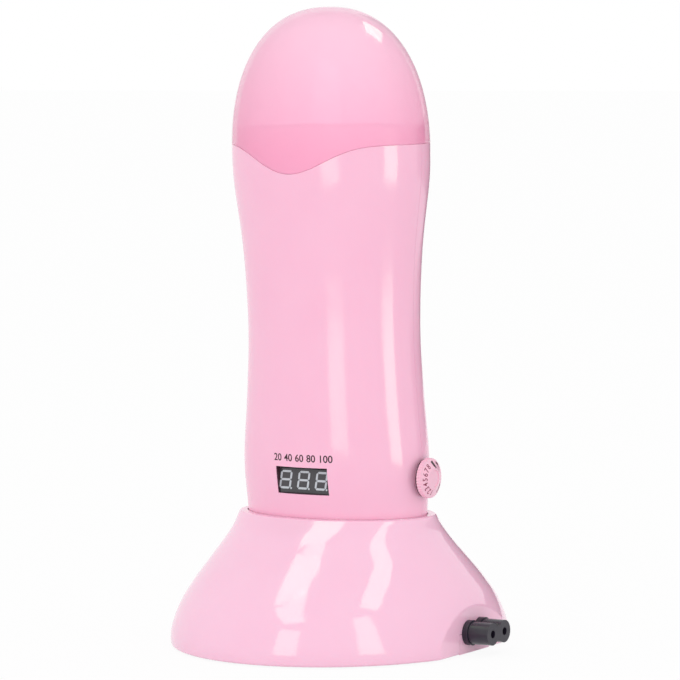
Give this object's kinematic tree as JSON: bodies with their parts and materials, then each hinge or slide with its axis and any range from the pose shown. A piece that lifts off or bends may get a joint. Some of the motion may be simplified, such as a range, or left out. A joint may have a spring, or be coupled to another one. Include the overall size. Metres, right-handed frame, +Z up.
{
  "type": "roll on wax heater",
  "caption": "Hand-held roll-on wax heater with clear dome cap, digital display and side dial, standing in a round base with socket and figure-8 coupler.",
  "frame": {"origin": "middle of the round base on the table", "axes": "+Z up along the handle, front with the display faces -Y, the dial and the side coupler face +X"},
  "size_m": [0.1359, 0.1298, 0.2433],
  "materials": {
    "shell_pink": "glossy moulded",
    "ring_pink": "semi-gloss moulded",
    "dial_pink": "satin moulded",
    "base_pink": "glossy moulded",
    "cap_clear_pink": "translucent tinted, polished",
    "chamber_aluminium": "drawn",
    "felt_white": "glass-fibre felt",
    "heater_plate": "foil-covered heater plate",
    "clamp_steel": "pressed",
    "sensor_black": "dipped epoxy",
    "fuse_white": "ceramic tube",
    "board_green": "fibreglass with green mask",
    "component_dark": "moulded epoxy",
    "display_grey": "dark grey face",
    "segment_grey": "milky unlit segments",
    "pot_metal": "zinc plated",
    "coupler_black": "fine satin moulded",
    "pin_brass": "plain brass",
    "lead_white": "pvc sheath",
    "lead_red": "silicone sheath",
    "screw_steel": "zinc plated",
    "retainer_white": "moulded",
    "foot_rubber": "soft rubber"
  },
  "bodies": {
    "base": {"base_shell": "base_pink", "dock_coupler": "coupler_black", "dock_contacts": "pin_brass", "dock_retainer": "retainer_white", "dock_screws": "screw_steel", "side_coupler": "coupler_black", "side_contacts": "pin_brass", "base_leads": "lead_white", "bottom_cover": "base_pink", "cover_screws": "screw_steel", "rubber_feet": "foot_rubber"},
    "handle": {"front_shell": "shell_pink", "rear_shell": "shell_pink", "neck_ring": "ring_pink", "heating_chamber": "chamber_aluminium", "insulation_wrap": "felt_white", "ptc_heater": "heater_plate", "heater_clamp": "clamp_steel", "thermistor": "sensor_black", "thermal_fuse": "fuse_white", "control_board": "board_green", "board_components": "component_dark", "dial_board": "board_green", "display_module": "display_grey", "display_segments": "segment_grey", "potentiometer": "pot_metal", "inlet_housing": "coupler_black", "inlet_pins": "pin_brass", "mains_leads": "lead_white", "heater_leads": "lead_red", "sensor_leads": "lead_white", "shell_screws": "screw_steel", "board_screws": "screw_steel"},
    "dial": {"dial": "dial_pink", "dial_shaft": "pot_metal"},
    "cap": {"cap": "cap_clear_pink"}
  },
  "joints": [
    {"name": "heater_lift", "type": "slide", "parent": "base", "child": "handle", "axis": [0, 0, 1], "range_m": [0, 0.06]},
    {"name": "cap_lift", "type": "slide", "parent": "handle", "child": "cap", "axis": [0, 0, 1], "range_m": [0, 0.065]},
    {"name": "dial_turn", "type": "hinge", "parent": "handle", "child": "dial", "pos_m": [0.0409, 0, 0.0653], "axis": [1, 0, 0], "range_deg": [-150, 150]}
  ]
}
